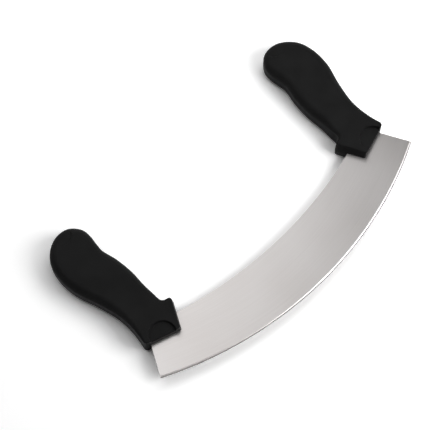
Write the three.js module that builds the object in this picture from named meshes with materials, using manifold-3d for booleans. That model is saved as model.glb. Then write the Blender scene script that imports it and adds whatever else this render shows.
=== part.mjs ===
// A single-blade mezzaluna lying flat: one curved steel blade whose two tangs run up inside
// a pair of upright moulded handles. Millimetres, +Z up. X runs along the blade from handle
// to handle, Y from the cutting edge towards the handle tips, and Z through the thickness.
// The part stands on z = 0, on the flat undersides of its handles.
import * as THREE from "three";
import { mergeVertices } from "three/addons/utils/BufferGeometryUtils.js";
import Module from "manifold-3d";

const wasm = await Module();
wasm.setup();

// Blade. The chord joins the two outer corners of the cutting edge.
const bladeChord = 280;
const cuttingRadius = 320;
const spineRadius = 362;
const bladeWidth = 48.5; // at the middle, from the spine to the cutting edge
const bladeThickness = 2;
const bevelWidth = 2;
const edgeThickness = 0.3;
const endLean = THREE.MathUtils.degToRad(28); // of the blade's end edges, from the Y axis

// Tangs, one piece with the blade.
const tangWidth = 15;
const tangLength = 68; // from the blade's shoulder to the tang's round end
const tangRoot = 18; // how far the tang's root lies inside the heel corner, along X
const tangLean = THREE.MathUtils.degToRad(5); // outwards
const tangFillet = 5;
const tangHoleRadius = 3.5;
const tangHoleCount = 3;
const tangHoleMargin = 12; // from each end of the tang to the nearest hole

// Handles. The heel is the corner of the handle that lies on the blade.
const heelInset = 37.8; // from the cutting edge's outer corner, along X
const heelRise = 15.8; // above the chord
const handleThickness = 20;
const gripLength = 123; // from the heel to the tip, along Y
const gripWidth = 44;
const frontLength = 31; // the handle's lower edge across the blade
const frontSlope = THREE.MathUtils.degToRad(17.5);
const guardLength = 26; // the finger guard's flat wall
const guardSlope = THREE.MathUtils.degToRad(118);
const guardFlare = 1.5; // how far the guard's wall stands out at mid thickness
const heelCorner = 1.6;
const outerCorner = 3;
const nubCorner = 2;

// Rounding of the handle's long edges.
const gripRound = 6.5;
const shoulderRound = 2.4;
const outerRound = 2.2;
const heelRound = 1.1;
const frontRound = 0.6;

// Half-moon thumb rest in both faces, open to the handle's lower edge.
const restRadius = 11;
const restCentre = 1; // of its arc, from the lower edge
const restDepth = 2;
const restTilt = THREE.MathUtils.degToRad(5); // deeper towards the blade

// Shallow round dish near the tip, in both faces.
const dishRadius = 9;
const dishDepth = 0.4;
const dishFromTip = 3.5;

// Moulded core and the skin over it.
const coreThickness = 11;
const coreRound = 1.5;
const clearance = 0.3;
const overrun = 4; // of a cutter past the face that it cuts
const weldDistance = 0.0001;

// Smoothness of round stretches.
const arcSteps = 56;
const cornerSteps = 5;
const curveSteps = 6;
const coreSteps = 3;
const roundSteps = 4;
const holeSteps = 24;
const tangEndSteps = 12;
const restSteps = 28;
const dishSteps = 56;
const easePasses = 6;

// The guard's flare fades over this many rows of the grip's outline, and the outline stops
// this share of a row short of the outer corner.
const flareRows = 2;
const outerStopShare = 0.5;

// The grip's outline from the guard's shoulder round the tip and down to the outer corner,
// measured from the heel as shares of the grip's width and length. The third share says how
// much of the full rounding the edge has there.
const gripOutlineShares = [
  [-0.1575, 0.201, 0.0],
  [-0.102, 0.218, 0.1],
  [-0.076, 0.243, 0.15],
  [-0.079, 0.275, 0.3],
  [-0.08, 0.363, 0.8],
  [-0.1, 0.498, 1.0],
  [-0.065, 0.623, 1.0],
  [0.0, 0.725, 1.0],
  [-0.012, 0.785, 1.0],
  [-0.035, 0.845, 1.0],
  [-0.015, 0.915, 1.0],
  [0.15, 0.984, 1.0],
  [0.375, 1.0, 1.0],
  [0.6, 0.973, 1.0],
  [0.81, 0.898, 1.0],
  [0.9, 0.794, 1.0],
  [0.885, 0.652, 1.0],
  [0.735, 0.484, 1.0],
  [0.63, 0.335, 0.7],
  [0.618, 0.214, 0.3],
];

// The core's outline, in the same shares.
const coreOutlineShares = [
  [0.1, 0.062],
  [0.3, 0.083],
  [0.48, 0.107],
  [0.54, 0.16],
  [0.52, 0.25],
  [0.54, 0.35],
  [0.64, 0.49],
  [0.78, 0.65],
  [0.79, 0.79],
  [0.71, 0.875],
  [0.56, 0.93],
  [0.38, 0.955],
  [0.22, 0.94],
  [0.11, 0.88],
  [0.1, 0.81],
  [0.11, 0.725],
  [0.06, 0.62],
  [0.02, 0.5],
  [0.03, 0.37],
  [0.025, 0.265],
  [-0.03, 0.19],
  [-0.02, 0.115],
];

const gripMaterial = new THREE.MeshStandardMaterial({ color: 0x1d1d1d, roughness: 0.42, metalness: 0 });
const coreMaterial = new THREE.MeshStandardMaterial({ color: 0x2a2a2c, roughness: 0.6, metalness: 0 });
const steelMaterial = new THREE.MeshStandardMaterial({ color: 0xc9c6c2, roughness: 0.25, metalness: 1 });

const bladeSagitta = cuttingRadius - Math.sqrt(cuttingRadius ** 2 - (bladeChord / 2) ** 2);
const cuttingCentreY = cuttingRadius - bladeSagitta;
const spineCentreY = bladeWidth - bladeSagitta + spineRadius;
const heel = new THREE.Vector2(bladeChord / 2 - heelInset, heelRise);

// Solids.

function solidFrom(geometry) {
  const bare = geometry.clone();
  bare.deleteAttribute("normal");
  bare.deleteAttribute("uv");
  const merged = mergeVertices(bare, weldDistance);
  const vertProperties = new Float32Array(merged.attributes.position.array);
  const triVerts = new Uint32Array(merged.index.array);
  return new wasm.Manifold(new wasm.Mesh({ numProp: 3, vertProperties, triVerts }));
}

function geometryFrom(solid) {
  const mesh = solid.getMesh();
  const geometry = new THREE.BufferGeometry();
  geometry.setAttribute("position", new THREE.BufferAttribute(mesh.vertProperties, 3));
  geometry.setIndex(new THREE.BufferAttribute(mesh.triVerts, 1));
  const faceted = geometry.toNonIndexed();
  faceted.computeVertexNormals();
  return faceted;
}

function slab(shape, thickness) {
  const geometry = new THREE.ExtrudeGeometry(shape, { depth: thickness, bevelEnabled: false });
  geometry.translate(0, 0, -thickness / 2);
  return solidFrom(geometry);
}

// Outlines.

function along(angle, distance) {
  return new THREE.Vector2(Math.cos(angle), Math.sin(angle)).multiplyScalar(distance);
}

// The points of a corner that is rounded between two straight edges.
function roundedCorner(before, corner, after, radius, steps) {
  const toBefore = before.clone().sub(corner).normalize();
  const toAfter = after.clone().sub(corner).normalize();
  const half = Math.acos(toBefore.dot(toAfter)) / 2;
  const centre = toBefore.clone().add(toAfter).normalize().multiplyScalar(radius / Math.sin(half)).add(corner);
  const reach = radius / Math.tan(half);
  const start = toBefore.multiplyScalar(reach).add(corner).sub(centre);
  const end = toAfter.multiplyScalar(reach).add(corner).sub(centre);
  const turn = Math.atan2(start.cross(end), start.dot(end));
  const points = [];
  for (let i = 0; i <= steps; i++) {
    points.push(start.clone().rotateAround(new THREE.Vector2(), (turn * i) / steps).add(centre));
  }
  return points;
}

// Blade with its tangs, grown all round by a clearance where it serves as a cutter.

function bladeEndEdge(grow) {
  const corner = new THREE.Vector2(bladeChord / 2, 0);
  const direction = new THREE.Vector2(-Math.sin(endLean), Math.cos(endLean));
  const outward = new THREE.Vector2(direction.y, -direction.x);
  return { start: outward.multiplyScalar(grow).add(corner), direction };
}

// Where the end edge meets the spine.
function bladeShoulder(grow) {
  const { start, direction } = bladeEndEdge(grow);
  const fromCentre = start.clone().sub(new THREE.Vector2(0, spineCentreY));
  const b = fromCentre.dot(direction);
  const c = fromCentre.lengthSq() - (spineRadius - grow) ** 2;
  return direction.clone().multiplyScalar(-b - Math.sqrt(b * b - c)).add(start);
}

function spinePoint(x, grow) {
  return new THREE.Vector2(x, spineCentreY - Math.sqrt((spineRadius - grow) ** 2 - x * x));
}

function tangFrame() {
  const root = spinePoint(heel.x + tangRoot - tangWidth / 2, 0);
  return { root, up: new THREE.Vector2(Math.sin(tangLean), Math.cos(tangLean)) };
}

// The right half, from below the end edge up over the tang and down to the spine.
function halfPlateOutline(grow) {
  const { root, up } = tangFrame();
  const side = new THREE.Vector2(up.y, -up.x);
  const halfWidth = tangWidth / 2 + grow;
  const tip = up.clone().multiplyScalar(tangLength - tangWidth / 2).add(root);
  const innerTop = side.clone().multiplyScalar(-halfWidth).add(tip);
  const innerFoot = side.clone().multiplyScalar(-halfWidth).add(root);
  const inner = spinePoint(innerFoot.x, grow);
  const inward = spinePoint(inner.x - 2 * tangFillet, grow);
  const { start, direction } = bladeEndEdge(grow);
  const points = [direction.clone().multiplyScalar(-overrun).add(start), bladeShoulder(grow)];
  for (let i = 0; i <= tangEndSteps; i++) {
    const spoke = side.clone().multiplyScalar(halfWidth);
    points.push(spoke.rotateAround(new THREE.Vector2(), (Math.PI * i) / tangEndSteps).add(tip));
  }
  points.push(...roundedCorner(innerTop, inner, inward, tangFillet - grow, cornerSteps));
  return points;
}

function plateShape(grow) {
  const right = halfPlateOutline(grow);
  const spineStart = right[right.length - 1].x;
  const spine = [];
  for (let i = 1; i < arcSteps; i++) {
    spine.push(spinePoint(spineStart * (1 - (2 * i) / arcSteps), grow));
  }
  const left = right.map((p) => new THREE.Vector2(-p.x, p.y)).reverse();
  const shape = new THREE.Shape([...right, ...spine, ...left]);
  const low = -bladeSagitta - overrun;
  shape.lineTo(left[left.length - 1].x, low);
  shape.lineTo(right[0].x, low);
  const { root, up } = tangFrame();
  const span = tangLength - 2 * tangHoleMargin;
  for (const mirror of [1, -1]) {
    for (let i = 0; i < tangHoleCount; i++) {
      const centre = up.clone().multiplyScalar(tangHoleMargin + (span * i) / (tangHoleCount - 1)).add(root);
      const hole = new THREE.Path();
      const points = [];
      for (let k = 0; k < holeSteps; k++) {
        points.push(along((2 * Math.PI * k) / holeSteps, tangHoleRadius - grow).add(centre));
      }
      hole.setFromPoints(points.map((p) => new THREE.Vector2(mirror * p.x, p.y)));
      shape.holes.push(hole);
    }
  }
  return shape;
}

// A wide disc whose rim has the two bevels, round the centre of the cutting arc.
function bevelledDisc() {
  const flat = cuttingRadius - bevelWidth;
  const profile = [
    new THREE.Vector2(0, -bladeThickness / 2),
    new THREE.Vector2(flat, -bladeThickness / 2),
    new THREE.Vector2(cuttingRadius, -edgeThickness / 2),
    new THREE.Vector2(cuttingRadius, edgeThickness / 2),
    new THREE.Vector2(flat, bladeThickness / 2),
    new THREE.Vector2(0, bladeThickness / 2),
  ];
  const sweepShare = Math.asin(bladeChord / 2 / cuttingRadius) / Math.PI;
  const disc = new THREE.LatheGeometry(profile, Math.ceil(arcSteps / sweepShare));
  disc.rotateX(Math.PI / 2);
  disc.translate(0, cuttingCentreY, 0);
  return solidFrom(disc);
}

function bladeSolid() {
  return slab(plateShape(0), bladeThickness + overrun).intersect(bevelledDisc());
}

function bladeCutter() {
  return slab(plateShape(clearance), bladeThickness + 2 * clearance);
}

// Handle skin, in a frame whose origin is the heel at mid thickness.

// The outline at mid thickness. Each point carries the radius of its edge and how far it
// follows the guard's flare.
function handleOutline() {
  const origin = new THREE.Vector2();
  const guardTip = along(guardSlope, guardLength);
  const outer = along(frontSlope, frontLength);
  const grip = gripOutlineShares.map(([x, y]) => new THREE.Vector2(x * gripWidth, y * gripLength));
  const outline = [];
  const addCorner = (points, from, to, flare) =>
    points.forEach((p, i) => {
      outline.push({ p, round: THREE.MathUtils.lerp(from, to, i / cornerSteps), flare });
    });
  addCorner(roundedCorner(outer, origin, guardTip, heelCorner, cornerSteps), frontRound, heelRound, 1);
  addCorner(roundedCorner(origin, guardTip, grip[0], nubCorner, cornerSteps), heelRound, heelRound, 1);
  const knots = [...grip, outer].map((p) => new THREE.Vector3(p.x, p.y, 0));
  const curve = new THREE.CatmullRomCurve3(knots, false, "centripetal");
  const rows = grip.length;
  for (let i = 0; i < (rows - outerStopShare) * curveSteps; i++) {
    const row = Math.floor(i / curveSteps);
    const from = gripOutlineShares[row][2];
    const to = row + 1 < rows ? gripOutlineShares[row + 1][2] : 0;
    const least = row < rows / 2 ? shoulderRound : outerRound;
    const fullShare = THREE.MathUtils.lerp(from, to, i / curveSteps - row);
    const { x, y } = curve.getPoint(i / (rows * curveSteps));
    outline.push({
      p: new THREE.Vector2(x, y),
      round: THREE.MathUtils.lerp(least, gripRound, fullShare),
      flare: Math.max(0, 1 - i / (flareRows * curveSteps)),
    });
  }
  const last = outline[outline.length - 1].p;
  addCorner(roundedCorner(last, outer, origin, outerCorner, cornerSteps), outerRound, frontRound, 0);
  return outline;
}

// Points that are closer than this share of the heel's corner count as one.
const sameShare = 0.05;

function tidyOutline(outline) {
  return outline.filter((entry, i) => {
    const next = outline[(i + 1) % outline.length];
    return entry.p.distanceTo(next.p) > sameShare * heelCorner;
  });
}

// Rounding radii are eased along the outline, so that an edge swells and thins smoothly.
function easeRounding(outline) {
  for (let pass = 0; pass < easePasses; pass++) {
    const before = outline.map((entry) => entry.round);
    outline.forEach((entry, i) => {
      const last = before[(i + before.length - 1) % before.length];
      const next = before[(i + 1) % before.length];
      entry.round = Math.min(before[i], (last + 2 * before[i] + next) / 4);
    });
  }
}

function handleBlank() {
  const outline = tidyOutline(handleOutline());
  easeRounding(outline);
  const count = outline.length;
  const half = handleThickness / 2;
  const flareStep = along(frontSlope, guardFlare);
  const normals = outline.map((entry, i) => {
    const next = outline[(i + 1) % count].p;
    const last = outline[(i + count - 1) % count].p;
    const tangent = next.clone().sub(last).normalize();
    return new THREE.Vector2(-tangent.y, tangent.x);
  });
  const rings = [];
  const addRing = (side, angle) => {
    rings.push(
      outline.map((entry, i) => {
        const height = side * (half - entry.round * (1 - Math.sin(angle)));
        const inset = entry.round * (1 - Math.cos(angle));
        const flare = (entry.flare * Math.abs(height)) / half;
        const p = entry.p.clone().addScaledVector(normals[i], -inset).addScaledVector(flareStep, flare);
        return new THREE.Vector3(p.x, p.y, height);
      }),
    );
  };
  for (let k = roundSteps; k >= 0; k--) addRing(-1, ((Math.PI / 2) * k) / roundSteps);
  rings.push(outline.map((entry) => new THREE.Vector3(entry.p.x, entry.p.y, 0)));
  for (let k = 0; k <= roundSteps; k++) addRing(1, ((Math.PI / 2) * k) / roundSteps);
  return solidFrom(loft(rings));
}

// A closed body through rings of equal count, with a flat lid on the first and the last.
// The rings run clockwise as seen from above, and from low to high.
function loft(rings) {
  const count = rings[0].length;
  const positions = rings.flat().flatMap((v) => [v.x, v.y, v.z]);
  const index = [];
  for (let r = 0; r < rings.length - 1; r++) {
    for (let i = 0; i < count; i++) {
      const a = r * count + i;
      const b = r * count + ((i + 1) % count);
      index.push(a, a + count, b, b, a + count, b + count);
    }
  }
  const lidOf = (ring) => THREE.ShapeUtils.triangulateShape(ring.map((v) => new THREE.Vector2(v.x, v.y)), []);
  const top = (rings.length - 1) * count;
  const upwards = ([a, b, c], ring) => {
    const ab = ring[b].clone().sub(ring[a]);
    const ac = ring[c].clone().sub(ring[a]);
    return ab.cross(ac).z > 0 ? [a, b, c] : [a, c, b];
  };
  for (const face of lidOf(rings[0])) {
    const [a, b, c] = upwards(face, rings[0]);
    index.push(a, c, b);
  }
  for (const face of lidOf(rings[rings.length - 1])) {
    const [a, b, c] = upwards(face, rings[rings.length - 1]);
    index.push(top + a, top + b, top + c);
  }
  const geometry = new THREE.BufferGeometry();
  geometry.setAttribute("position", new THREE.BufferAttribute(new Float32Array(positions), 3));
  geometry.setIndex(index);
  return geometry;
}

// Half-moon cutter that runs out past the handle's lower edge.
function thumbRest(side) {
  const shape = new THREE.Shape();
  shape.absarc(0, 0, restRadius, 0, Math.PI, false);
  shape.lineTo(-restRadius, -overrun);
  shape.lineTo(restRadius, -overrun);
  shape.closePath();
  const cutter = new THREE.ExtrudeGeometry(shape, {
    depth: restDepth + overrun,
    bevelEnabled: false,
    curveSegments: restSteps,
  });
  cutter.translate(0, -restRadius, -restDepth);
  cutter.rotateX(restTilt);
  cutter.translate(0, restRadius, 0);
  cutter.translate(frontLength / 2, restCentre, handleThickness / 2);
  cutter.rotateZ(frontSlope);
  if (side < 0) {
    cutter.scale(1, 1, -1);
    flip(cutter);
  }
  return solidFrom(cutter);
}

// Turns every face round, after a mirroring.
function flip(geometry) {
  const p = geometry.attributes.position.array;
  for (let i = 0; i < p.length; i += 9) {
    for (let k = 0; k < 3; k++) {
      [p[i + 3 + k], p[i + 6 + k]] = [p[i + 6 + k], p[i + 3 + k]];
    }
  }
}

function tipPoint() {
  const highest = gripOutlineShares.reduce((best, next) => (next[1] > best[1] ? next : best));
  return new THREE.Vector2(highest[0] * gripWidth, highest[1] * gripLength);
}

function tipDish(side) {
  const tip = tipPoint();
  const disc = new THREE.CylinderGeometry(dishRadius, dishRadius, dishDepth + overrun, dishSteps);
  disc.rotateX(Math.PI / 2);
  const middle = side * (handleThickness / 2 - dishDepth + (dishDepth + overrun) / 2);
  disc.translate(tip.x, tip.y - dishFromTip, middle);
  return solidFrom(disc);
}

function coreBlank(grow) {
  const points = coreOutlineShares.map(([x, y]) => new THREE.Vector3(x * gripWidth, y * gripLength, 0));
  const closed = new THREE.CatmullRomCurve3(points, true);
  const outline = closed.getPoints(coreSteps * points.length).slice(0, -1);
  const count = outline.length;
  const half = coreThickness / 2 + grow;
  const rings = [];
  for (const [height, inset] of [[-half, coreRound], [coreRound - half, 0], [half - coreRound, 0], [half, coreRound]]) {
    rings.push(
      outline.map((p, i) => {
        const next = outline[(i + 1) % count];
        const last = outline[(i + count - 1) % count];
        const tangent = next.clone().sub(last).normalize();
        const outward = new THREE.Vector2(tangent.y, -tangent.x).multiplyScalar(grow - inset);
        return new THREE.Vector3(p.x + outward.x, p.y + outward.y, height);
      }).reverse(),
    );
  }
  return solidFrom(loft(rings));
}

const cutterAtHeel = bladeCutter().translate([-heel.x, -heel.y, 0]);
const coreGeometry = geometryFrom(coreBlank(0).subtract(cutterAtHeel));

function gripSolid() {
  let grip = handleBlank();
  for (const side of [1, -1]) {
    grip = grip.subtract(thumbRest(side)).subtract(tipDish(side));
  }
  return grip.subtract(coreBlank(clearance)).subtract(cutterAtHeel);
}

const gripGeometry = geometryFrom(gripSolid());

function namedMesh(name, geometry, material) {
  const mesh = new THREE.Mesh(geometry, material);
  mesh.name = name;
  return mesh;
}

// The left handle is the right one turned over, as both come out of one mould.
function handle(side, word) {
  const assembly = new THREE.Group();
  assembly.add(namedMesh(`handle_core_${word}`, coreGeometry, coreMaterial));
  assembly.add(namedMesh(`handle_grip_${word}`, gripGeometry, gripMaterial));
  assembly.position.set(side * heel.x, heel.y, 0);
  if (side < 0) assembly.rotation.y = Math.PI;
  return assembly;
}

const mezzaluna = new THREE.Group();
mezzaluna.add(namedMesh("blade", geometryFrom(bladeSolid()), steelMaterial));
mezzaluna.add(handle(1, "right"));
mezzaluna.add(handle(-1, "left"));

// The origin lies under the middle of the part, on the surface that it rests on.
const box = new THREE.Box3().setFromObject(mezzaluna);
const middle = box.getCenter(new THREE.Vector3());
mezzaluna.position.set(-middle.x, -middle.y, -box.min.z);

export default mezzaluna;
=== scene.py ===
import math

import bmesh
import bpy
from mathutils import Matrix, Vector
from mathutils.geometry import delaunay_2d_cdt


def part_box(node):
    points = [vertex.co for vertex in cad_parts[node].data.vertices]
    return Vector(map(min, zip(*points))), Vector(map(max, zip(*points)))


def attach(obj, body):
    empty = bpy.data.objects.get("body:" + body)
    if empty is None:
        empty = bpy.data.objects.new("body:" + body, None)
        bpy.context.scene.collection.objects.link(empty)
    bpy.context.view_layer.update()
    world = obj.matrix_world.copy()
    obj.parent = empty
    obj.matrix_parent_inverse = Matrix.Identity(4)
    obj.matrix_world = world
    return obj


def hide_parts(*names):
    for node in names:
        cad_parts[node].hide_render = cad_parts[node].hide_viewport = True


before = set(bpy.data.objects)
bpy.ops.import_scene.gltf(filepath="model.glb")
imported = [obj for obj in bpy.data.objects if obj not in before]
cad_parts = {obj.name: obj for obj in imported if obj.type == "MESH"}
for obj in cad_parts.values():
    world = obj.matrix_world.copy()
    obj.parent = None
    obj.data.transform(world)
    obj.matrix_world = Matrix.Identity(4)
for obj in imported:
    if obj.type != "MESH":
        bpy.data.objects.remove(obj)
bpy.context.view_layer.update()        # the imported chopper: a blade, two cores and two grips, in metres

mm = 0.001
print("frame loaded:", ", ".join(sorted(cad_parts)))


# Small helpers for outlines, all in the plane of the blade.

def along(angle, distance=1.0):
    return Vector((math.cos(angle), math.sin(angle))) * distance


def turned(v, angle):
    c, s = math.cos(angle), math.sin(angle)
    return Vector((c * v.x - s * v.y, s * v.x + c * v.y))


def roundedCorner(before, corner, after, radius, steps):
    toBefore, toAfter = (before - corner).normalized(), (after - corner).normalized()
    half = toBefore.angle(toAfter) / 2
    centre = corner + (toBefore + toAfter).normalized() * radius / math.sin(half)
    reach = radius / math.tan(half)
    start, end = corner + toBefore * reach - centre, corner + toAfter * reach - centre
    turn = math.atan2(start.x * end.y - start.y * end.x, start.dot(end))
    return [centre + turned(start, turn * i / steps) for i in range(steps + 1)]


def throughPoints(points, spacing, leastSteps=3):
    # A smooth curve through the points, as pairs of a point and its row, a number with a fraction.
    ends = [points[0] * 2 - points[1]] + points + [points[-1] * 2 - points[-2]]
    out = []
    for row in range(len(points) - 1):
        p0, p1, p2, p3 = ends[row:row + 4]
        t0 = 0.0
        t1 = t0 + math.sqrt((p1 - p0).length)
        t2 = t1 + math.sqrt((p2 - p1).length)
        t3 = t2 + math.sqrt((p3 - p2).length)
        steps = max(leastSteps, math.ceil((p2 - p1).length / spacing))
        for i in range(steps):
            share = i / steps
            t = t1 + (t2 - t1) * share
            a1 = p0 * ((t1 - t) / (t1 - t0)) + p1 * ((t - t0) / (t1 - t0))
            a2 = p1 * ((t2 - t) / (t2 - t1)) + p2 * ((t - t1) / (t2 - t1))
            a3 = p2 * ((t3 - t) / (t3 - t2)) + p3 * ((t - t2) / (t3 - t2))
            b1 = a1 * ((t2 - t) / (t2 - t0)) + a2 * ((t - t0) / (t2 - t0))
            b2 = a2 * ((t3 - t) / (t3 - t1)) + a3 * ((t - t1) / (t3 - t1))
            out.append((b1 * ((t2 - t) / (t2 - t1)) + b2 * ((t - t1) / (t2 - t1)), row + share))
    out.append((points[-1], float(len(points) - 1)))
    return out


def outwardNormals(loop):
    # For a loop that runs clockwise round its body, seen from above.
    out = []
    for i, p in enumerate(loop):
        tangent = (loop[(i + 1) % len(loop)] - loop[i - 1]).normalized()
        out.append(Vector((-tangent.y, tangent.x)))
    return out


def inside(point, loop):
    # True where a line from the point crosses the loop an odd number of times.
    hit = False
    x, y = point
    last = loop[-1]
    for p in loop:
        if (p[1] > y) != (last[1] > y) and x < (last[0] - p[0]) * (y - p[1]) / (last[1] - p[1]) + p[0]:
            hit = not hit
        last = p
    return hit


meshFill = {
    "output": 1,             # triangles inside the loops alone
    "tolerance": 1e-12,
}


def fillRegion(outer, holes=(), extra=()):
    # Triangles over a flat region, as triples of ids. Each loop is a list of (id, point).
    # They spread from the largest triangle on the outer loop and stop at the loops' edges.
    entries = [e for loop in (outer, *holes) for e in loop] + list(extra)
    edges, first = [], 0
    for loop in (outer, *holes):
        n = len(loop)
        edges += [(first + i, first + (i + 1) % n) for i in range(n)]
        first += n
    flat = [Vector(p) for _, p in entries]
    walls = {frozenset(edge) for edge in edges}
    filled = delaunay_2d_cdt(flat, edges, [], meshFill["output"], meshFill["tolerance"])
    made, origin = filled[2:4]
    triangles = [[origin[i][0] for i in face] for face in made]
    sides = {}
    for k, triangle in enumerate(triangles):
        for a, b in zip(triangle, triangle[1:] + triangle[:1]):
            sides.setdefault(frozenset((a, b)), []).append(k)

    def size(k):
        a, b, c = (flat[i] for i in triangles[k])
        return abs((b - a).cross(c - a))

    def touching(i):
        return sides.get(frozenset((i, (i + 1) % len(outer))), [])

    start = max((k for i in range(len(outer)) for k in touching(i)), key=size)
    found, queue = {start}, [start]
    while queue:
        triangle = triangles[queue.pop()]
        for a, b in zip(triangle, triangle[1:] + triangle[:1]):
            side = frozenset((a, b))
            if side in walls:
                continue
            for k in sides[side]:
                if k not in found:
                    found.add(k)
                    queue.append(k)
    return [[entries[i][0] for i in triangles[k]] for k in sorted(found)]


def meshObject(name, verts, faces):
    mesh = bpy.data.meshes.new(name)
    mesh.from_pydata([tuple(v) for v in verts], [], faces)
    piece = bpy.data.objects.new(name, mesh)
    bpy.context.scene.collection.objects.link(piece)
    bm = bmesh.new()
    bm.from_mesh(mesh)
    bmesh.ops.recalc_face_normals(bm, faces=bm.faces)
    bm.to_mesh(mesh)
    bm.free()
    return piece


def applyModifiers(piece):
    depsgraph = bpy.context.evaluated_depsgraph_get()
    made = bpy.data.meshes.new_from_object(piece.evaluated_get(depsgraph))
    piece.modifiers.clear()
    old, piece.data = piece.data, made
    bpy.data.meshes.remove(old)
    made.name = piece.name


def cutWith(piece, cutters):
    for cutter in cutters:
        cut = piece.modifiers.new("cut", "BOOLEAN")
        cut.operation, cut.solver, cut.object = "DIFFERENCE", "EXACT", cutter
        applyModifiers(piece)
        bpy.data.objects.remove(cutter)


sharpFrom = math.radians(35)
largeFaceWeight = 100    # the large faces set the shading of the rounds beside them


def smoothShade(piece):
    piece.data.shade_smooth()
    piece.data.set_sharp_from_angle(angle=sharpFrom)
    weighted = piece.modifiers.new("weighted", "WEIGHTED_NORMAL")
    weighted.keep_sharp, weighted.weight = True, largeFaceWeight
    applyModifiers(piece)


# Camera, at the photograph's viewing angle.

cameraView = {
    "azimuth": -44.56,      # degrees round the part, 0 looks along +Y
    "elevation": 68.04,
    "distance": 1.120,
    "target": (-0.0174, 0.0127, 0.010),
    "lens": 118.6,
    "sensor": 36,
    "clip": (0.05, 50),
}


def makeCamera(view):
    az, el = math.radians(view["azimuth"]), math.radians(view["elevation"])
    back = Vector((math.sin(az) * math.cos(el), -math.cos(az) * math.cos(el), math.sin(el)))
    data = bpy.data.cameras.new("photoCamera")
    data.lens, data.sensor_width = view["lens"], view["sensor"]
    data.clip_start, data.clip_end = view["clip"]
    camera = bpy.data.objects.new("photoCamera", data)
    bpy.context.scene.collection.objects.link(camera)
    camera.location = Vector(view["target"]) + back * view["distance"]
    camera.rotation_mode = "QUATERNION"
    camera.rotation_quaternion = (-back).to_track_quat("-Z", "Y")
    bpy.context.scene.camera = camera


makeCamera(cameraView)
print("camera made")


# Materials.

def newMaterial(name):
    material = bpy.data.materials.new(name)
    material.use_nodes = True
    tree = material.node_tree
    return material, tree, tree.nodes["Principled BSDF"]


def node(tree, kind, **settings):
    made = tree.nodes.new(kind)
    for key, value in settings.items():
        setattr(made, key, value)
    return made


def link(tree, source, target):
    tree.links.new(source, target)


def mathNode(tree, operation, a, b=None):
    made = node(tree, "ShaderNodeMath", operation=operation)
    for socket, value in zip(made.inputs, (a, b)):
        if value is None:
            continue
        if isinstance(value, (int, float)):
            socket.default_value = value
        else:
            link(tree, value, socket)
    return made.outputs[0]


def noiseNode(tree, vector, scale, detail=3.0, roughness=0.5):
    made = node(tree, "ShaderNodeTexNoise")
    link(tree, vector, made.inputs["Vector"])
    made.inputs["Scale"].default_value = scale
    made.inputs["Detail"].default_value = detail
    made.inputs["Roughness"].default_value = roughness
    return made.outputs["Fac"]


def rangeNode(tree, value, low, high, toLow, toHigh):
    made = node(tree, "ShaderNodeMapRange")
    link(tree, value, made.inputs["Value"])
    for key, number in (("From Min", low), ("From Max", high), ("To Min", toLow), ("To Max", toHigh)):
        made.inputs[key].default_value = number
    return made.outputs["Result"]


def rampNode(tree, value, stops):
    # Two stops, each a place and a colour.
    made = node(tree, "ShaderNodeValToRGB")
    link(tree, value, made.inputs["Fac"])
    for element, (place, colour) in zip(made.color_ramp.elements, stops):
        element.position, element.color = place, (*colour, 1)
    return made.outputs["Color"]


def bumpNode(tree, height, strength, distance):
    made = node(tree, "ShaderNodeBump")
    made.inputs["Strength"].default_value = strength
    made.inputs["Distance"].default_value = distance
    link(tree, height, made.inputs["Height"])
    return made.outputs["Normal"]


noiseSpan = (0.3, 0.7)           # that most of a noise lies in


steelFinish = {
    "dark": (0.605, 0.577, 0.565),
    "light": (0.685, 0.661, 0.652),
    "shades": (0.35, 0.65),      # of the noise, where the colour is the dark and the light one
    "roughness": (0.30, 0.36),
    "lineSpacing": 0.35 * mm,    # between grinding lines
    "lineBreaks": 6.0,           # along the arc, in each radian
    "layers": 400,               # through the thickness, in each metre
    "lineShare": 0.35,           # of the lines against the patches
    "patchScale": 14.0,
    "lineBump": 0.0015 * mm,
    "bumpStrength": 0.3,
    "bevelRoughness": (0.36, 0.42),
    "honedRoughness": (0.15, 0.19),
    # Painted shade: the honed strip's colour is darkened to stand in for the dark line of shadow and
    # reflection along the cutting edge.
    "honedPaintedShade": 0.4,           # of the honed strip against the rest
}


def arcCoordinates(tree, centreY):
    # Distance from the arc's centre, and length along the arc, for the grinding lines.
    place = node(tree, "ShaderNodeTexCoord").outputs["Object"]
    split = node(tree, "ShaderNodeSeparateXYZ")
    link(tree, place, split.inputs[0])
    x = split.outputs["X"]
    y = mathNode(tree, "SUBTRACT", split.outputs["Y"], centreY)
    radius = mathNode(tree, "SQRT", mathNode(tree, "ADD", mathNode(tree, "MULTIPLY", x, x),
                                             mathNode(tree, "MULTIPLY", y, y)))
    angle = mathNode(tree, "ARCTAN2", x, y)
    return place, radius, angle, split.outputs["Z"]


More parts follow.
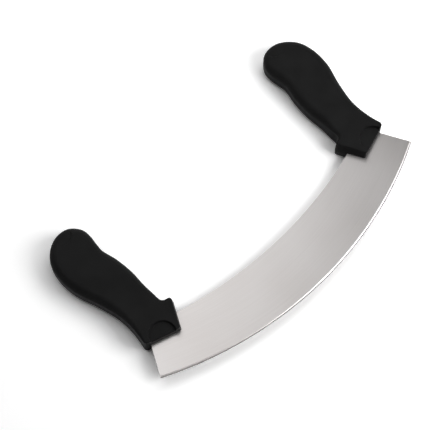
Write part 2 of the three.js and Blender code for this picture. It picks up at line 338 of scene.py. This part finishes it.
def steelMaterial(name, centreY, roughness, paintedShade=1.0):
    material, tree, shader = newMaterial(name)
    place, radius, angle, z = arcCoordinates(tree, centreY)
    lines = node(tree, "ShaderNodeCombineXYZ")
    link(tree, mathNode(tree, "MULTIPLY", angle, steelFinish["lineBreaks"]), lines.inputs["X"])
    link(tree, mathNode(tree, "DIVIDE", radius, steelFinish["lineSpacing"]), lines.inputs["Y"])
    link(tree, mathNode(tree, "MULTIPLY", z, steelFinish["layers"]), lines.inputs["Z"])
    grain = noiseNode(tree, lines.outputs[0], scale=1.0, detail=2.0, roughness=0.6)
    cloud = noiseNode(tree, place, steelFinish["patchScale"], detail=2.0, roughness=0.45)
    share = steelFinish["lineShare"]
    mixed = mathNode(tree, "ADD", mathNode(tree, "MULTIPLY", grain, share),
                     mathNode(tree, "MULTIPLY", cloud, 1 - share))
    # The colours are scaled by the painted shade factor, which is below 1 only on the honed strip, where
    # shade is painted into the steel.
    colours = [[paintedShade * c for c in steelFinish[key]] for key in ("dark", "light")]
    link(tree, rampNode(tree, mixed, zip(steelFinish["shades"], colours)), shader.inputs["Base Color"])
    link(tree, rangeNode(tree, mixed, *noiseSpan, *roughness), shader.inputs["Roughness"])
    shader.inputs["Metallic"].default_value = 1.0
    bump = bumpNode(tree, grain, steelFinish["bumpStrength"], steelFinish["lineBump"])
    link(tree, bump, shader.inputs["Normal"])
    return material


plasticFinish = {
    "colour": (0.0100, 0.0100, 0.0101),
    "worn": (0.0125, 0.0125, 0.0126),
    "roughness": (0.36, 0.42),
    "specular": 0.03,
    "grainSize": 0.22 * mm,
    "grainBump": 0.004 * mm,
}
plasticWear = {
    "shades": (0.35, 0.7),       # of the noise, where the colour is the plain and the worn one
    "patchScale": 60.0,
    "bumpStrength": 0.5,
}


def plasticMaterial(name, finish):
    material, tree, shader = newMaterial(name)
    place = node(tree, "ShaderNodeTexCoord").outputs["Object"]
    grain = noiseNode(tree, place, 1 / finish["grainSize"], detail=2.0, roughness=0.6)
    cloud = noiseNode(tree, place, plasticWear["patchScale"])
    stops = zip(plasticWear["shades"], (finish["colour"], finish["worn"]))
    link(tree, rampNode(tree, cloud, stops), shader.inputs["Base Color"])
    link(tree, rangeNode(tree, cloud, *noiseSpan, *finish["roughness"]), shader.inputs["Roughness"])
    shader.inputs["Specular IOR Level"].default_value = finish["specular"]
    bump = bumpNode(tree, grain, plasticWear["bumpStrength"], finish["grainBump"])
    link(tree, bump, shader.inputs["Normal"])
    return material


# Blade: face, bevels, spine and tangs in one sheet.

bladeSheet = {
    "chord": 280 * mm,
    "cuttingRadius": 320 * mm,
    "spineRadius": 362 * mm,
    "width": 48.5 * mm,          # at the middle
    "thickness": 2 * mm,
    "bevel": 1.35 * mm,
    "edge": 0.1 * mm,            # flat left at the cutting edge
    "endLean": math.radians(28),
    "edgeRound": 0.22 * mm,      # of the spine and end edges
    "bevelRound": 0.2 * mm,      # where the face turns into the bevel
    "honed": 0.6 * mm,           # steep strip along the edge
    "honedDrop": 0.55 * mm,      # how far that strip falls
    "tangWidth": 15 * mm,
    "tangLength": 68 * mm,
    "tangRoot": 112.7 * mm,      # from the middle of the blade, along X
    "tangLean": math.radians(5),
    "tangFillet": 5 * mm,
    "holeRadius": 3.5 * mm,
    "holeMargin": 12 * mm,
    "holeCount": 3,
    "arcSteps": 220,
    "endSteps": 18,              # round the tang's tip
    "endRows": 6,                # up each end edge
    "filletSteps": 8,
    "holeSteps": 40,
    "turnSteps": 4,              # over each rounded edge of the sheet
}
sameWay = 0.05                   # sine of the turn under which two edges count as one line

halfChord = bladeSheet["chord"] / 2
sagitta = bladeSheet["cuttingRadius"] - math.sqrt(bladeSheet["cuttingRadius"] ** 2 - halfChord ** 2)
bladeLow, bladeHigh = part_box("blade")
chordY = bladeLow.y + sagitta          # the chord's place in the part
bladeMiddle = (bladeLow.z + bladeHigh.z) / 2
cuttingCentreY = chordY + bladeSheet["cuttingRadius"] - sagitta
spineCentreY = chordY - sagitta + bladeSheet["width"] + bladeSheet["spineRadius"]


def spinePoint(x, grow=0.0):
    return Vector((x, spineCentreY - math.sqrt((bladeSheet["spineRadius"] - grow) ** 2 - x * x)))


def bladeEndLine(grow=0.0):
    lean = bladeSheet["endLean"]
    direction = Vector((-math.sin(lean), math.cos(lean)))
    corner = Vector((halfChord, chordY))
    return corner + Vector((direction.y, -direction.x)) * grow, direction


def bladeShoulder(grow=0.0):
    start, direction = bladeEndLine(grow)
    fromCentre = start - Vector((0, spineCentreY))
    b = fromCentre.dot(direction)
    c = fromCentre.length_squared - (bladeSheet["spineRadius"] - grow) ** 2
    return start + direction * (-b - math.sqrt(b * b - c))


def tangAxis():
    lean = bladeSheet["tangLean"]
    return spinePoint(bladeSheet["tangRoot"]), Vector((math.sin(lean), math.cos(lean)))


def tangOutline(grow=0.0):
    # From the blade's shoulder over the tang and down into the spine, on the right.
    root, up = tangAxis()
    side = Vector((up.y, -up.x))
    halfWidth = bladeSheet["tangWidth"] / 2 + grow
    tip = root + up * (bladeSheet["tangLength"] - bladeSheet["tangWidth"] / 2)
    steps = bladeSheet["endSteps"]
    points = [bladeShoulder(grow)]
    points += [tip + turned(side * halfWidth, math.pi * i / steps) for i in range(steps + 1)]
    inner = spinePoint((root - side * halfWidth).x, grow)
    fillet, filletSteps = bladeSheet["tangFillet"], bladeSheet["filletSteps"]
    inward = spinePoint(inner.x - 2 * fillet, grow)
    points += roundedCorner(tip - side * halfWidth, inner, inward, fillet - grow, filletSteps)
    return points


def tangHoles():
    root, up = tangAxis()
    span = bladeSheet["tangLength"] - 2 * bladeSheet["holeMargin"]
    steps = bladeSheet["holeSteps"]
    loops = []
    for i in range(bladeSheet["holeCount"]):
        centre = root + up * (bladeSheet["holeMargin"] + span * i / (bladeSheet["holeCount"] - 1))
        angles = [2 * math.pi * k / steps for k in range(steps)]
        loops.append([centre + along(angle, bladeSheet["holeRadius"]) for angle in angles])
    return loops


def mirrored(points):
    # On the other half of the blade, in the turning sense of the original.
    return [Vector((-p.x, p.y)) for p in reversed(points)]


def bladeOutline():
    # Anticlockwise. Each entry is (point, True on the cutting edge).
    half = math.asin(halfChord / bladeSheet["cuttingRadius"])
    centre = Vector((0, cuttingCentreY))
    steps = bladeSheet["arcSteps"]
    cutting = []
    for i in range(steps + 1):
        angle = -math.pi / 2 - half + 2 * half * i / steps
        cutting.append((centre + along(angle, bladeSheet["cuttingRadius"]), True))
    corner, direction = bladeEndLine()
    endLength = (bladeShoulder() - corner).length
    firstUp = bladeSheet["bevel"] + 2 * bladeSheet["bevelRound"]
    rows = bladeSheet["endRows"]
    rightEnd = [corner + direction * (firstUp + (endLength - firstUp) * i / rows) for i in range(rows)]
    tang = tangOutline()
    spineStart = tang[-1].x
    spine = [spinePoint(spineStart * (1 - 2 * i / steps)) for i in range(1, steps)]
    rest = rightEnd + tang + spine + mirrored(tang) + mirrored(rightEnd)
    return cutting + [(p, False) for p in rest]


def bladeLevels():
    # From the flat face down to mid thickness: the inset and height of each level on the cutting
    # edge, and its inset and height elsewhere.
    half, bevel = bladeSheet["thickness"] / 2, bladeSheet["bevel"]
    honedTop = bladeSheet["edge"] / 2 + bladeSheet["honedDrop"]
    slope = math.atan((half - honedTop) / (bevel - bladeSheet["honed"]))
    turnRadius = bladeSheet["bevelRound"] / math.tan(slope / 2)
    r = bladeSheet["edgeRound"]
    steps = bladeSheet["turnSteps"]
    levels = []
    for k in range(steps + 1):
        share = k / steps
        cutInset = bevel + bladeSheet["bevelRound"] - turnRadius * math.sin(slope * share)
        cutZ = half - turnRadius * (1 - math.cos(slope * share))
        turn = math.pi / 2 * share
        levels.append((cutInset, cutZ, r - r * math.sin(turn), half - r + r * math.cos(turn)))
    side = half - 2 * r
    levels.append((bladeSheet["honed"], honedTop, 0.0, side))
    levels.append((0.0, bladeSheet["edge"] / 2, 0.0, side / 2))
    return levels


def bladeRing(outline, level):
    # The outline moved in by the level's insets, as pairs of a point and its height.
    cutInset, cutZ, inset, z = level
    made = []
    for i, (p, cutting) in enumerate(outline):
        last, following = outline[i - 1], outline[(i + 1) % len(outline)]
        d1, d2 = (p - last[0]).normalized(), (following[0] - p).normalized()
        n1, n2 = Vector((-d1.y, d1.x)), Vector((-d2.y, d2.x))
        e1 = cutInset if cutting and last[1] else inset
        e2 = cutInset if cutting and following[1] else inset
        cross = n1.x * n2.y - n1.y * n2.x
        if abs(cross) < sameWay:
            q = p + (n1 + n2).normalized() * (e1 + e2) / 2
        else:
            q = p + Vector(((e1 * n2.y - e2 * n1.y) / cross, (n1.x * e2 - n2.x * e1) / cross))
        made.append((q, cutZ if cutting else z))
    return made


def loopBand(a, b):
    # Faces between two loops of (id, point) with as many points each.
    n = len(a)
    return [(a[i][0], a[(i + 1) % n][0], b[(i + 1) % n][0], b[i][0]) for i in range(n)]


def makeBlade():
    outline = bladeOutline()
    rings = [bladeRing(outline, level) for level in bladeLevels()]
    half = bladeSheet["thickness"] / 2
    verts, faces = [], []

    def addLoop(points, heights):
        first = len(verts)
        verts.extend(Vector((p.x, p.y, bladeMiddle + z)) for p, z in zip(points, heights))
        return [(first + i, p) for i, p in enumerate(points)]

    sides = []
    for side in (1, -1):
        sides.append([addLoop([q for q, _ in ring], [side * z for _, z in ring]) for ring in rings])
    for loops in sides:
        for a, b in zip(loops, loops[1:]):
            faces += loopBand(a, b)
    upper, lower = sides
    faces += loopBand(upper[-1], lower[-1])
    holes = tangHoles()
    holes += [mirrored(loop) for loop in holes]
    mouths = []
    for side, loops in zip((1, -1), sides):
        mouths.append([addLoop(hole, [side * half] * len(hole)) for hole in holes])
        faces += fillRegion(loops[0], mouths[-1])
    for above, below in zip(*mouths):
        faces += loopBand(above, below)
    blade = meshObject("blade_sheet", verts, faces)
    face = steelMaterial("satin_steel", cuttingCentreY, steelFinish["roughness"])
    ground = steelMaterial("ground_bevel", cuttingCentreY, steelFinish["bevelRoughness"])
    # The honed strip's steel is darkened: painted shade for the dark line along the cutting edge.
    paintedShade = steelFinish["honedPaintedShade"]
    honed = steelMaterial("honed_edge_painted_shade", cuttingCentreY, steelFinish["honedRoughness"], paintedShade)
    for material in (face, ground, honed):
        blade.data.materials.append(material)
    reach = bladeSheet["cuttingRadius"] - bladeSheet["bevel"]
    honedReach = bladeSheet["cuttingRadius"] - bladeSheet["honed"]
    for polygon in blade.data.polygons:
        middle = polygon.center
        distance = (Vector((middle.x, middle.y)) - Vector((0, cuttingCentreY))).length
        polygon.material_index = (distance > reach) + (distance > honedReach)
    smoothShade(blade)
    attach(blade, "root")
    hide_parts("blade")


makeBlade()
print("blade made")


# Handles. Every outline here starts from the heel, the handle's corner on the blade.

gripSkin = {
    "length": 123 * mm,
    "width": 44 * mm,
    "thickness": 20 * mm,
    "frontLength": 31 * mm,
    "frontSlope": math.radians(17.5),
    "guardLength": 26 * mm,
    "guardSlope": math.radians(118),
    "guardFlare": 1.5 * mm,
    "heelCorner": 1.6 * mm,
    "outerCorner": 3 * mm,
    "nubCorner": 2 * mm,
    "fullRound": 6.5 * mm,
    "shoulderRound": 2.4 * mm,
    "outerRound": 2.2 * mm,
    "heelRound": 1.1 * mm,
    "frontRound": 0.6 * mm,
    "spacing": 0.65 * mm,        # of the mesh along the outline
    "roundSteps": 14,            # over each rounded edge
    "cornerSteps": 12,           # round each corner of the outline
    "guardBand": 0.06 * mm,      # flat strip that keeps the flats' shading flat
    "flareRows": 2.0,            # rows of the outline over which the guard's flare fades
    "outerStop": 0.5,            # share of a row left free for the outer corner
    "leastGap": 0.05 * mm,       # closer points of the outline are left out
    "easeReach": 3.5 * mm,
    "easePasses": 3,
}

# Shares of the width and length, and how much of the full rounding the edge has there.
gripOutline = (
    (-0.1575, 0.201, 0.0), (-0.102, 0.218, 0.1), (-0.076, 0.243, 0.15), (-0.079, 0.275, 0.3),
    (-0.08, 0.363, 0.8), (-0.1, 0.498, 1.0), (-0.065, 0.623, 1.0), (0.0, 0.725, 1.0),
    (-0.012, 0.785, 1.0), (-0.035, 0.845, 1.0), (-0.015, 0.915, 1.0), (0.15, 0.984, 1.0),
    (0.375, 1.0, 1.0), (0.6, 0.973, 1.0), (0.81, 0.898, 1.0), (0.9, 0.794, 1.0),
    (0.885, 0.652, 1.0), (0.735, 0.484, 1.0), (0.63, 0.335, 0.7), (0.618, 0.214, 0.3),
)

thumbRest = {
    "radius": 11 * mm,
    "centre": 1 * mm,            # of its arc, from the lower edge, to which it is open
    "depth": 2 * mm,
    "tilt": math.radians(5),     # deeper towards the blade
    "rim": 0.5 * mm,
    "wall": 0.4 * mm,            # how far the wall leans in
    "floorRound": 0.4 * mm,
    "skirt": 0.05 * mm,          # flat strip outside the rim
    "floorStrip": 0.1 * mm,
    "rimLow": 0.25,              # share of the rim's outward steps that the straight row takes
    "arcSteps": 56,
    "straightSteps": 36,
    "turnSteps": 4,              # over the rim, and over the floor's round
    "plainSteps": 8,             # over half of the floor, at the lower edge
}

tipDish = {
    "radius": 9 * mm,
    "depth": 0.45 * mm,          # in the middle
    "lean": 0.75,                # share by which it is deeper on the guard's side
    "fromTip": 3.5 * mm,
    "soft": 0.25 * mm,           # half the width of its edge
    "edgeRings": (1.3, 1.0, 0.7, 0.4, 0.1, -0.2, -0.5, -0.8, -1.0, -1.3),     # in such halves
    "floorRings": 4,
    "floorGap": 2 * mm,          # between them
    "spacing": 0.7 * mm,         # along each ring
    "leastSides": 8,
    "clear": 0.25 * mm,          # least distance from the outline
}


def handleOutline():
    origin = Vector((0, 0))
    guardTip = along(gripSkin["guardSlope"], gripSkin["guardLength"])
    outer = along(gripSkin["frontSlope"], gripSkin["frontLength"])
    rows = [Vector((x * gripSkin["width"], y * gripSkin["length"])) for x, y, _ in gripOutline]
    heelRound, frontRound, full = (gripSkin[key] for key in ("heelRound", "frontRound", "fullRound"))
    steps = gripSkin["cornerSteps"]
    entries = []                 # each is a point, its rounding and its share of the flare
    for i, p in enumerate(roundedCorner(outer, origin, guardTip, gripSkin["heelCorner"], steps)):
        entries.append((p, frontRound + (heelRound - frontRound) * i / steps, 1.0))
    for p in roundedCorner(origin, guardTip, rows[0], gripSkin["nubCorner"], steps):
        entries.append((p, heelRound, 1.0))
    curve = throughPoints([*rows, outer], gripSkin["spacing"])
    for p, row in curve:
        if row > len(rows) - gripSkin["outerStop"]:
            break
        low = int(row)
        here = gripOutline[low][2]
        there = gripOutline[low + 1][2] if low + 1 < len(rows) else 0.0
        least = gripSkin["shoulderRound"] if row < len(rows) / 2 else gripSkin["outerRound"]
        share = here + (there - here) * (row - low)
        flare = max(0.0, 1 - row / gripSkin["flareRows"])
        entries.append((p, least + (full - least) * share, flare))
    last = entries[-1][0]
    for i, p in enumerate(roundedCorner(last, outer, origin, gripSkin["outerCorner"], steps)):
        share = i / steps
        entries.append((p, gripSkin["outerRound"] * (1 - share) + frontRound * share, 0.0))
    for u in restMarks():
        p = along(gripSkin["frontSlope"], gripSkin["frontLength"] / 2 + u)
        entries.append((p, frontRound, 0.0))
    gaps = [(p - entries[(i + 1) % len(entries)][0]).length for i, (p, _, _) in enumerate(entries)]
    return [entry for entry, gap in zip(entries, gaps) if gap > gripSkin["leastGap"]]


def easedRounding(entries):
    # The radius at a point never passes the mean of its surroundings, so edges swell slowly.
    points = [p for p, _, _ in entries]
    rounds = [r for _, r, _ in entries]
    count, reach = len(points), gripSkin["easeReach"]
    for _ in range(gripSkin["easePasses"]):
        eased = []
        for i in range(count):
            total, weight = rounds[i], 1.0
            for step in (1, -1):
                j, distance = i, 0.0
                while distance < reach:
                    k = (j + step) % count
                    distance += (points[k] - points[j]).length
                    j = k
                    w = max(0.0, 1 - distance / reach)
                    total += rounds[j] * w
                    weight += w
            eased.append(min(rounds[i], total / weight))
        rounds = eased
    return rounds


# The thumb rest's own frame: u along the handle's lower edge, v inwards, from the arc's centre.

def restFrame(u, v):
    slope = gripSkin["frontSlope"]
    middle = along(slope, gripSkin["frontLength"] / 2 + u)
    return middle + Vector((-math.sin(slope), math.cos(slope))) * (thumbRest["centre"] + v)


def restLocal(q):
    local = turned(q, -gripSkin["frontSlope"])
    return local.x - gripSkin["frontLength"] / 2, local.y - thumbRest["centre"]


def restInsets():
    # From the rim's outside over the leaning wall to the floor.
    rim, wall, floor = (thumbRest[key] for key in ("rim", "wall", "floorRound"))
    steps = thumbRest["turnSteps"]
    turns = [math.sin(math.pi / 2 * i / steps) for i in range(steps + 1)]
    outside = [-rim - thumbRest["skirt"]] + [rim * (s - 1) for s in turns]
    inwards = [wall + floor * (1 - s) for s in reversed(turns)]
    return outside + inwards + [wall + floor + thumbRest["floorStrip"]]


def restMarks():
    # Where the handle's lower edge needs points, from the outer corner to the heel.
    side = [thumbRest["radius"] - inset for inset in restInsets()]
    steps = thumbRest["plainSteps"]
    plain = [side[-1] * (1 - i / steps) for i in range(1, steps)]
    right = side + plain
    return right + [0.0] + [-u for u in reversed(right)]


def restDrop(q):
    # How far the thumb rest lies below the flat. Past the arc's centre it runs straight out.
    u, v = restLocal(q)
    inset = thumbRest["radius"] - math.hypot(u, max(0.0, v))
    rim, wall, floor = (thumbRest[key] for key in ("rim", "wall", "floorRound"))
    depth = thumbRest["depth"] + (thumbRest["radius"] - v) * math.tan(thumbRest["tilt"])
    if inset <= -rim:
        return 0.0
    if inset < 0:
        return rim - math.sqrt(rim ** 2 - (inset + rim) ** 2)
    if inset < wall:
        return rim + (depth - floor - rim) * inset / wall
    if inset < wall + floor:
        return depth - floor + math.sqrt(floor ** 2 - (wall + floor - inset) ** 2)
    return depth


def restLoop(inset):
    # An arc and the straight row that closes it. Outside the wall the row moves out by less, so
    # that it stays clear of the handle's lower edge.
    radius = thumbRest["radius"] - inset
    low = inset if inset > 0 else thumbRest["rimLow"] * inset
    lift = math.asin(low / radius)
    steps = thumbRest["arcSteps"]
    loop = [along(lift + (math.pi - 2 * lift) * i / steps, radius) for i in range(steps + 1)]
    straight = thumbRest["straightSteps"]
    shares = [(1 - math.cos(math.pi * i / straight)) / 2 for i in range(1, straight)]
    return loop + [loop[-1].lerp(loop[0], share) for share in shares]


def dishCentre():
    top = max(gripOutline, key=lambda row: row[1])
    return Vector((top[0] * gripSkin["width"], top[1] * gripSkin["length"] - tipDish["fromTip"]))


def dishDrop(p):
    out = p - dishCentre()
    t = (tipDish["radius"] + tipDish["soft"] - out.length) / (2 * tipDish["soft"])
    t = min(1.0, max(0.0, t))
    depth = tipDish["depth"] * (1 - tipDish["lean"] * out.x / tipDish["radius"])
    return depth * t * t * (3 - 2 * t)


def dishRadii():
    radius = tipDish["radius"]
    edge = [radius + tipDish["soft"] * k for k in tipDish["edgeRings"]]
    return edge + [radius - tipDish["floorGap"] * k for k in range(1, tipDish["floorRings"] + 1)]


def gripMesh():
    entries = handleOutline()
    rounds = easedRounding(entries)
    points = [p for p, _, _ in entries]
    normals = outwardNormals(points)
    count, half = len(points), gripSkin["thickness"] / 2
    flareStep = along(gripSkin["frontSlope"], gripSkin["guardFlare"])
    verts, faces = [], []

    def addRing(height, inset):
        first = len(verts)
        for p, n, h, d, (_, _, flare) in zip(points, normals, height, inset, entries):
            q = p - n * d + flareStep * (flare * h / half)
            z = h * (1 - restDrop(q) / half)
            verts.append(Vector((q.x, q.y, min(z, half - dishDrop(q)))))
        return [(first + i, Vector(verts[first + i][:2])) for i in range(count)]

    flush = [0.0] * count
    rings = [addRing(flush, flush)]
    for share in (1 / 2, 1):
        rings.append(addRing([(half - r) * share for r in rounds], flush))
    steps = gripSkin["roundSteps"]
    for k in range(1, steps + 1):
        a = math.pi / 2 * k / steps
        heights = [half - r + r * math.sin(a) for r in rounds]
        rings.append(addRing(heights, [r - r * math.cos(a) for r in rounds]))
    rings.append(addRing([half] * count, [r + gripSkin["guardBand"] for r in rounds]))
    for a, b in zip(rings, rings[1:]):
        faces.extend(loopBand(a, b))

    levels = []
    for inset in restInsets():
        first = len(verts)
        loop = restLoop(inset)
        for local in loop:
            q = restFrame(local.x, local.y)
            verts.append(Vector((q.x, q.y, half - restDrop(q))))
        levels.append([(first + i, Vector(verts[first + i][:2])) for i in range(len(loop))])
    for a, b in zip(levels, levels[1:]):
        faces.extend(loopBand(a, b))
    faces.extend(fillRegion(levels[-1]))

    lid = rings[-1]
    lidLoop = [tuple(p) for _, p in lid]
    centre = dishCentre()
    extra = []
    for radius in dishRadii():
        sides = max(tipDish["leastSides"], round(2 * math.pi * radius / tipDish["spacing"]))
        for i in range(sides):
            q = centre + along(2 * math.pi * i / sides, radius)
            clear = min((q - p).length for _, p in lid)
            if clear > tipDish["clear"] and inside(q, lidLoop):
                verts.append(Vector((q.x, q.y, half - dishDrop(q))))
                extra.append((len(verts) - 1, q))
    faces.extend(fillRegion(lid, [levels[0]], extra))

    # The lower half mirrors the upper one and shares its middle ring.
    total = len(verts)
    below = [i if i < count else i - count + total for i in range(total)]
    verts += [Vector((v.x, v.y, -v.z)) for v in verts[count:]]
    faces += [tuple(below[i] for i in reversed(face)) for face in faces]
    return verts, faces


# The space for the core, cut out of each handle.

coreShape = {
    "thickness": 11 * mm,
    "round": 1.5 * mm,
    "clearance": 0.3 * mm,
    "spacing": 2 * mm,
}

# Shares of the handle's width and length.
coreOutline = (
    (0.1, 0.062), (0.3, 0.083), (0.48, 0.107), (0.54, 0.16), (0.52, 0.25), (0.54, 0.35),
    (0.64, 0.49), (0.78, 0.65), (0.79, 0.79), (0.71, 0.875), (0.56, 0.93), (0.38, 0.955),
    (0.22, 0.94), (0.11, 0.88), (0.1, 0.81), (0.11, 0.725), (0.06, 0.62), (0.02, 0.5),
    (0.03, 0.37), (0.025, 0.265), (-0.03, 0.19), (-0.02, 0.115),
)


def coreCavity():
    rows = [Vector((x * gripSkin["width"], y * gripSkin["length"])) for x, y in reversed(coreOutline)]
    lead = 2                     # rows repeated at each end, to close the curve smoothly
    wrapped = rows[-lead:] + rows + rows[:lead + 1]
    curve = throughPoints(wrapped, coreShape["spacing"])
    curve = [p for p, row in curve if lead <= row < lead + len(rows)]
    normals = outwardNormals(curve)
    grow, edge = coreShape["clearance"], coreShape["round"]
    half = coreShape["thickness"] / 2 + grow
    verts, rings = [], []
    count = len(curve)
    for height, inset in ((-half, edge), (edge - half, 0), (half - edge, 0), (half, edge)):
        first = len(verts)
        for p, n in zip(curve, normals):
            q = p + n * (grow - inset)
            verts.append(Vector((q.x, q.y, height)))
        rings.append([(first + i, None) for i in range(count)])
    faces = [face for a, b in zip(rings, rings[1:]) for face in loopBand(a, b)]
    faces += [[i for i, _ in rings[0]], [i for i, _ in rings[-1]]]
    return meshObject("coreCavity", verts, faces)


slotShape = {
    "clearance": 0.03 * mm,
    "spineSteps": 8,             # from the tang towards the blade's middle
    "spineStep": 0.06,           # share of the tang's distance from the middle
}


def bladeSlot(heel):
    # The blade's right end as a plate, a little thicker than the sheet, in the heel's frame.
    grow = slotShape["clearance"]
    start, direction = bladeEndLine(grow)
    low = start - direction * bladeSheet["bevel"]
    tang = tangOutline(grow)
    shares = [slotShape["spineStep"] * i for i in range(1, slotShape["spineSteps"] + 1)]
    inward = [spinePoint(tang[-1].x * (1 - share), grow) for share in shares]
    loop = [low, *tang, *inward, Vector((inward[-1].x, low.y))]
    half = bladeSheet["thickness"] / 2 + grow
    verts = [Vector((p.x - heel.x, p.y - heel.y, z)) for z in (-half, half) for p in loop]
    n = len(loop)
    faces = [list(range(n)), list(range(n, 2 * n))]
    faces += [(i, (i + 1) % n, n + (i + 1) % n, n + i) for i in range(n)]
    return meshObject("bladeSlot", verts, faces)


def makeGrips():
    verts, faces = gripMesh()
    first = meshObject("handle_skin_right", verts, faces)
    low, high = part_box("handle_grip_right")
    own = [Vector([pick(v[k] for v in verts) for k in range(3)]) for pick in (min, max)]
    # The finer curves bulge a few hundredths of a millimetre past the solid, so the skin is
    # fitted to its box.
    fit = [(high[k] - low[k]) / (own[1][k] - own[0][k]) for k in range(3)]
    middle = (own[0] + own[1]) / 2
    heel = (low + high) / 2 - middle
    shrink = Matrix.Translation(middle) @ Matrix.Diagonal((*fit, 1)) @ Matrix.Translation(-middle)
    first.data.transform(shrink)
    cutWith(first, [coreCavity(), bladeSlot(heel)])
    other = bpy.data.objects.new("handle_skin_left", first.data.copy())
    bpy.context.scene.collection.objects.link(other)
    first.data.transform(Matrix.Translation(heel))
    turn = Matrix.Rotation(math.pi, 4, "Y")
    other.data.transform(Matrix.Translation(Vector((-heel.x, heel.y, heel.z))) @ turn)
    skin = plasticMaterial("satin_black_plastic", plasticFinish)
    for piece, word in ((first, "right"), (other, "left")):
        piece.data.materials.append(skin)
        smoothShade(piece)
        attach(piece, "root")
        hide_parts(f"handle_grip_{word}")
    print("grips made:", len(first.data.polygons), "faces each")


makeGrips()


# Cores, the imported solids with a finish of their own.

coreFinish = {
    "colour": (0.022, 0.022, 0.024),
    "worn": (0.034, 0.034, 0.037),
    "roughness": (0.50, 0.60),
    "specular": 0.5,
    "grainSize": 0.4 * mm,
    "grainBump": 0.006 * mm,
}


def finishCores():
    material = plasticMaterial("grey_core_plastic", coreFinish)
    for word in ("right", "left"):
        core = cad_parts[f"handle_core_{word}"]
        core.data.materials.clear()
        core.data.materials.append(material)


finishCores()
print("cores finished")


# Table, lamps and surroundings.

table = {
    "size": 8.0,
    "cuts": 8,
    "colour": 0.85,
    "seen": 1.26,                # the same white as the camera sees it
    "mirrored": 1.0,             # and as reflections see it
    "nearReach": 0.2,            # from here on the lit table turns into plain white
    "farReach": 0.5,
    "patchScale": 3.0,
    "patches": (0.995, 1.005),   # faint patches, as shares of the colour
}


def reflectedRay(tree, rays):
    glossy, through = rays.outputs["Is Glossy Ray"], rays.outputs["Is Transmission Ray"]
    return mathNode(tree, "MAXIMUM", glossy, through)


def makeTable():
    half = table["size"] / 2
    verts = [Vector((x, y, 0)) for x, y in ((-half, -half), (half, -half), (half, half), (-half, half))]
    floor = meshObject("table_top", verts, [(0, 1, 2, 3)])
    bm = bmesh.new()
    bm.from_mesh(floor.data)
    bmesh.ops.subdivide_edges(bm, edges=bm.edges, cuts=table["cuts"], use_grid_fill=True)
    bm.to_mesh(floor.data)
    bm.free()
    material, tree, shader = newMaterial("white_table")
    tree.nodes.remove(shader)
    matt = node(tree, "ShaderNodeBsdfDiffuse")
    rays = node(tree, "ShaderNodeLightPath")
    reflected = reflectedRay(tree, rays)
    place = node(tree, "ShaderNodeTexCoord").outputs["Object"]
    cloud = noiseNode(tree, place, table["patchScale"], detail=2.0)
    uneven = rangeNode(tree, cloud, *noiseSpan, *table["patches"])
    white = rangeNode(tree, reflected, 0, 1, table["colour"], table["mirrored"])
    seen = mathNode(tree, "MULTIPLY", rays.outputs["Is Camera Ray"], table["seen"])
    white = mathNode(tree, "MAXIMUM", white, seen)
    link(tree, mathNode(tree, "MULTIPLY", white, uneven), matt.inputs["Color"])
    reach = node(tree, "ShaderNodeVectorMath", operation="LENGTH")
    link(tree, place, reach.inputs[0])
    far = rangeNode(tree, reach.outputs["Value"], table["nearReach"], table["farReach"], 0, 1)
    watched = mathNode(tree, "MAXIMUM", rays.outputs["Is Camera Ray"], reflected)
    blend = node(tree, "ShaderNodeMixShader")
    link(tree, mathNode(tree, "MULTIPLY", far, watched), blend.inputs[0])
    link(tree, matt.outputs[0], blend.inputs[1])
    link(tree, node(tree, "ShaderNodeEmission").outputs[0], blend.inputs[2])
    link(tree, blend.outputs[0], tree.nodes["Material Output"].inputs["Surface"])
    floor.data.materials.append(material)


makeTable()

lamps = {
    "key": {"from": (0.422, -0.626, 0.656), "distance": 0.874, "width": 0.60, "power": 5.2},
    "side": {"from": (0.707, 0.230, 0.669), "distance": 0.9, "width": 0.70, "power": 2.9},
    "back": {"from": (0.0, 0.52, 0.854), "distance": 1.5, "width": 1.75, "power": 10.2},
    "strip": {"from": (0.04, -0.46, 0.887), "distance": 1.3, "width": 0.46, "power": 1.35},
}
noReflection = ("side",)         # lamps that light the table and don't show in the steel


def makeLamps():
    for name, lamp in lamps.items():
        data = bpy.data.lights.new(name, "AREA")
        data.shape = "DISK"
        data.size = lamp["width"]
        data.energy = lamp["power"]
        made = bpy.data.objects.new(name, data)
        bpy.context.scene.collection.objects.link(made)
        direction = Vector(lamp["from"]).normalized()
        made.location = direction * lamp["distance"]
        made.rotation_mode = "QUATERNION"
        made.rotation_quaternion = (-direction).to_track_quat("-Z", "Y")
        made.visible_camera = False
        made.visible_glossy = name not in noReflection


makeLamps()

surroundings = {
    "level": 0.035,              # of the light that it gives
    "wallTop": 0.35,             # height on the unit sphere up to which reflections see white
    "ceiling": 0.75,             # and from which they see the plain level
}


def makeSurroundings():
    world = bpy.data.worlds.new("studio")
    world.use_nodes = True
    tree = world.node_tree
    background = tree.nodes["Background"]
    background.inputs["Color"].default_value = (1, 1, 1, 1)
    rays = node(tree, "ShaderNodeLightPath")
    reflected = reflectedRay(tree, rays)
    split = node(tree, "ShaderNodeSeparateXYZ")
    link(tree, node(tree, "ShaderNodeTexCoord").outputs["Generated"], split.inputs[0])
    wall = rangeNode(tree, split.outputs["Z"], surroundings["wallTop"], surroundings["ceiling"], 1, 0)
    walls = mathNode(tree, "MULTIPLY", wall, reflected)
    white = mathNode(tree, "MAXIMUM", walls, rays.outputs["Is Camera Ray"])
    link(tree, mathNode(tree, "MAXIMUM", white, surroundings["level"]), background.inputs["Strength"])
    bpy.context.scene.world = world


makeSurroundings()
bpy.context.scene.view_settings.view_transform = "Standard"
print("table, lamps and surroundings made")
